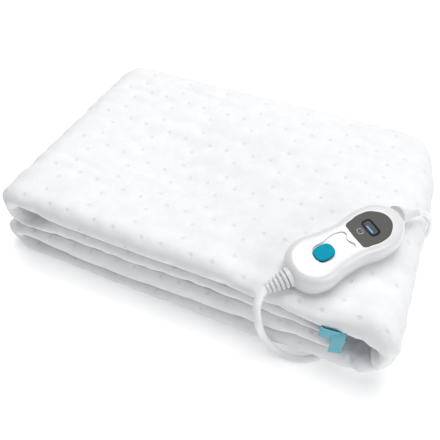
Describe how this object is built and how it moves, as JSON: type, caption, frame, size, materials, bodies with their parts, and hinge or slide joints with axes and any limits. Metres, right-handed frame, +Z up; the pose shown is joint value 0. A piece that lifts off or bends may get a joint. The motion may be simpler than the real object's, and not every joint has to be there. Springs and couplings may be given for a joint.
{
  "type": "electric heated blanket",
  "caption": "Folded white fleece under-blanket that warms a bed, with a rounded hand control on top, its leads, a coiled mains lead with a plug, and a teal ribbon",
  "frame": {"origin": "on the surface that the blanket rests on, under the middle of the folded stack's long straight run", "axes": "+X runs along the front from left to right, +Y from the front to the back, +Z up"},
  "size_m": [0.4319, 0.3722, 0.1176],
  "materials": {
    "fleece": "short-pile white fleece",
    "ribbon": "teal woven ribbon",
    "shell": "gloss white moulding",
    "flex": "satin white flexible PVC",
    "panel": "satin grey moulding",
    "window": "gloss black window",
    "button": "satin blue moulding",
    "pin": "nickel-plated pin"
  },
  "bodies": {
    "blanket": {"blanket": "fleece", "blanket_lead": "flex", "coil_tie": "flex", "cord_entry": "flex", "display_panel": "panel", "display_window": "window", "handset_lower": "shell", "handset_upper": "shell", "mains_coil": "flex", "mains_lead": "flex", "mains_tail": "flex", "plug": "flex", "plug_pin_left": "pin", "plug_pin_right": "pin", "plug_relief": "flex", "relief_back": "flex", "relief_front": "flex", "ribbon_tab": "ribbon"},
    "button": {"button": "button"}
  },
  "joints": [
    {"name": "button_slide", "type": "slide", "parent": "blanket", "child": "button", "axis": [0.5976, 0.7988, 0.0698], "range_m": [0, 0.014]}
  ]
}
